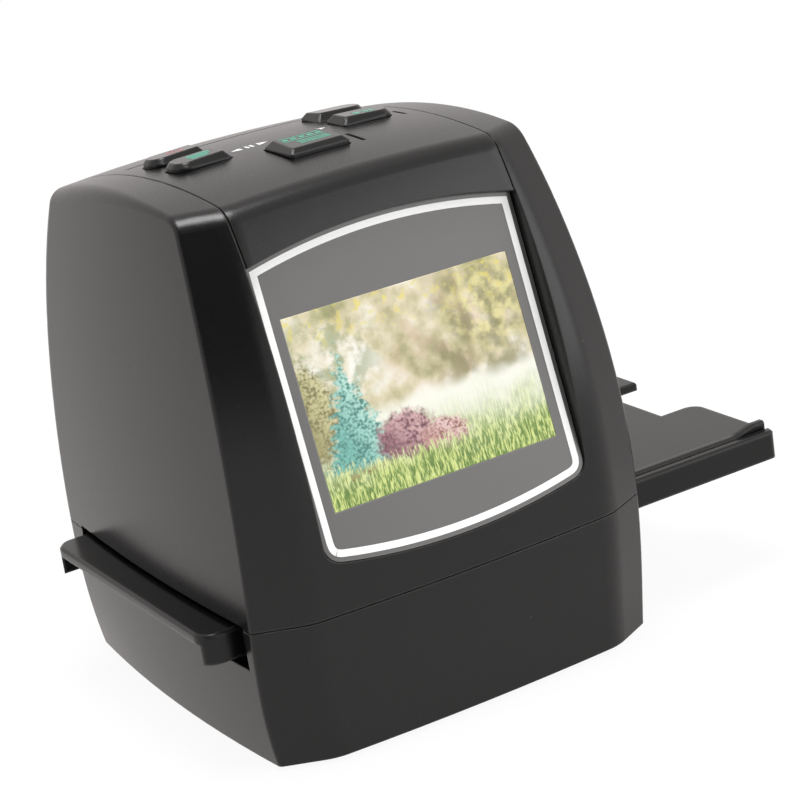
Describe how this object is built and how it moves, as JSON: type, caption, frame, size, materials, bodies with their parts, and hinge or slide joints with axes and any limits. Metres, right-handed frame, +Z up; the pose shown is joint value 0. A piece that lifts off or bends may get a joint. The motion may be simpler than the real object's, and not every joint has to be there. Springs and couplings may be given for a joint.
{
  "type": "film negative scanner",
  "caption": "Desktop film scanner with a curved black casing, a tilted display window, top buttons and a sliding film tray that holds a film carrier.",
  "frame": {"origin": "middle of the whole object's underside, on the surface it stands on", "axes": "+X to the viewer's right along the film tray, +Y from the display side to the back, +Z up"},
  "size_m": [0.1342, 0.0953, 0.1086],
  "materials": {
    "casing_black": "fine satin grain",
    "button_black": "semi gloss",
    "window_grey": "gloss",
    "tray_black": "satin",
    "guide_black": "matte",
    "screen_glass": "gloss",
    "diffuser_white": "milky",
    "lamp_white": "gloss",
    "board_green": "satin",
    "chip_black": "matte",
    "socket_steel": "brushed",
    "spring_steel": "bright",
    "screw_steel": "zinc",
    "jack_black": "matte",
    "lens_glass": "coated",
    "rubber_black": "matte",
    "ribbon_white": "satin"
  },
  "bodies": {
    "casing": {"base_shell": "casing_black", "main_shell": "casing_black", "top_cover": "casing_black", "rear_panel": "casing_black", "display_window": "window_grey", "tray_guide": "guide_black", "detent_springs": "spring_steel", "lamp_house": "diffuser_white", "light_diffuser": "diffuser_white", "lamp_board": "board_green", "lamps": "lamp_white", "camera_plate": "guide_black", "camera_tower": "guide_black", "lens_barrel": "guide_black", "lenses": "lens_glass", "sensor_board": "board_green", "image_sensor": "chip_black", "base_screws": "screw_steel", "plate_screws": "screw_steel", "rubber_feet": "rubber_black", "main_board": "board_green", "board_screws": "screw_steel", "image_processor": "chip_black", "memory_chips": "chip_black", "usb_socket": "socket_steel", "video_jack": "jack_black", "card_socket": "socket_steel", "display_screen": "screen_glass", "display_frame": "socket_steel", "display_backlight": "diffuser_white", "display_board": "board_green", "display_screws": "screw_steel", "button_board": "board_green", "button_switches": "chip_black", "cover_screws": "screw_steel", "display_ribbon": "ribbon_white", "sensor_ribbon": "ribbon_white", "button_ribbon": "ribbon_white", "lamp_lead": "ribbon_white"},
    "tray": {"film_tray": "tray_black"},
    "film_holder": {"film_carrier": "tray_black", "carrier_lid": "tray_black", "hinge_pin": "spring_steel"},
    "power_button": {"power_button": "button_black"},
    "mode_button": {"mode_button": "button_black"},
    "scan_button": {"scan_button": "button_black"},
    "mirror_button": {"mirror_button": "button_black"},
    "play_button": {"play_button": "button_black"}
  },
  "joints": [
    {"name": "tray_slide", "type": "slide", "parent": "casing", "child": "tray", "axis": [1, 0, 0], "range_m": [-0.03, 0.075]},
    {"name": "holder_slide", "type": "slide", "parent": "tray", "child": "film_holder", "axis": [1, 0, 0], "range_m": [0, 0.095]},
    {"name": "power_button_press", "type": "slide", "parent": "casing", "child": "power_button", "axis": [0, 0, -1], "range_m": [0, 0.0008], "stiffness_N_per_m": 300, "springref_m": -0.001},
    {"name": "mode_button_press", "type": "slide", "parent": "casing", "child": "mode_button", "axis": [0, 0, -1], "range_m": [0, 0.0008], "stiffness_N_per_m": 300, "springref_m": -0.001},
    {"name": "scan_button_press", "type": "slide", "parent": "casing", "child": "scan_button", "axis": [0, 0, -1], "range_m": [0, 0.0008], "stiffness_N_per_m": 300, "springref_m": -0.001},
    {"name": "mirror_button_press", "type": "slide", "parent": "casing", "child": "mirror_button", "axis": [0, 0, -1], "range_m": [0, 0.0008], "stiffness_N_per_m": 300, "springref_m": -0.001},
    {"name": "play_button_press", "type": "slide", "parent": "casing", "child": "play_button", "axis": [0, 0, -1], "range_m": [0, 0.0008], "stiffness_N_per_m": 300, "springref_m": -0.001}
  ]
}
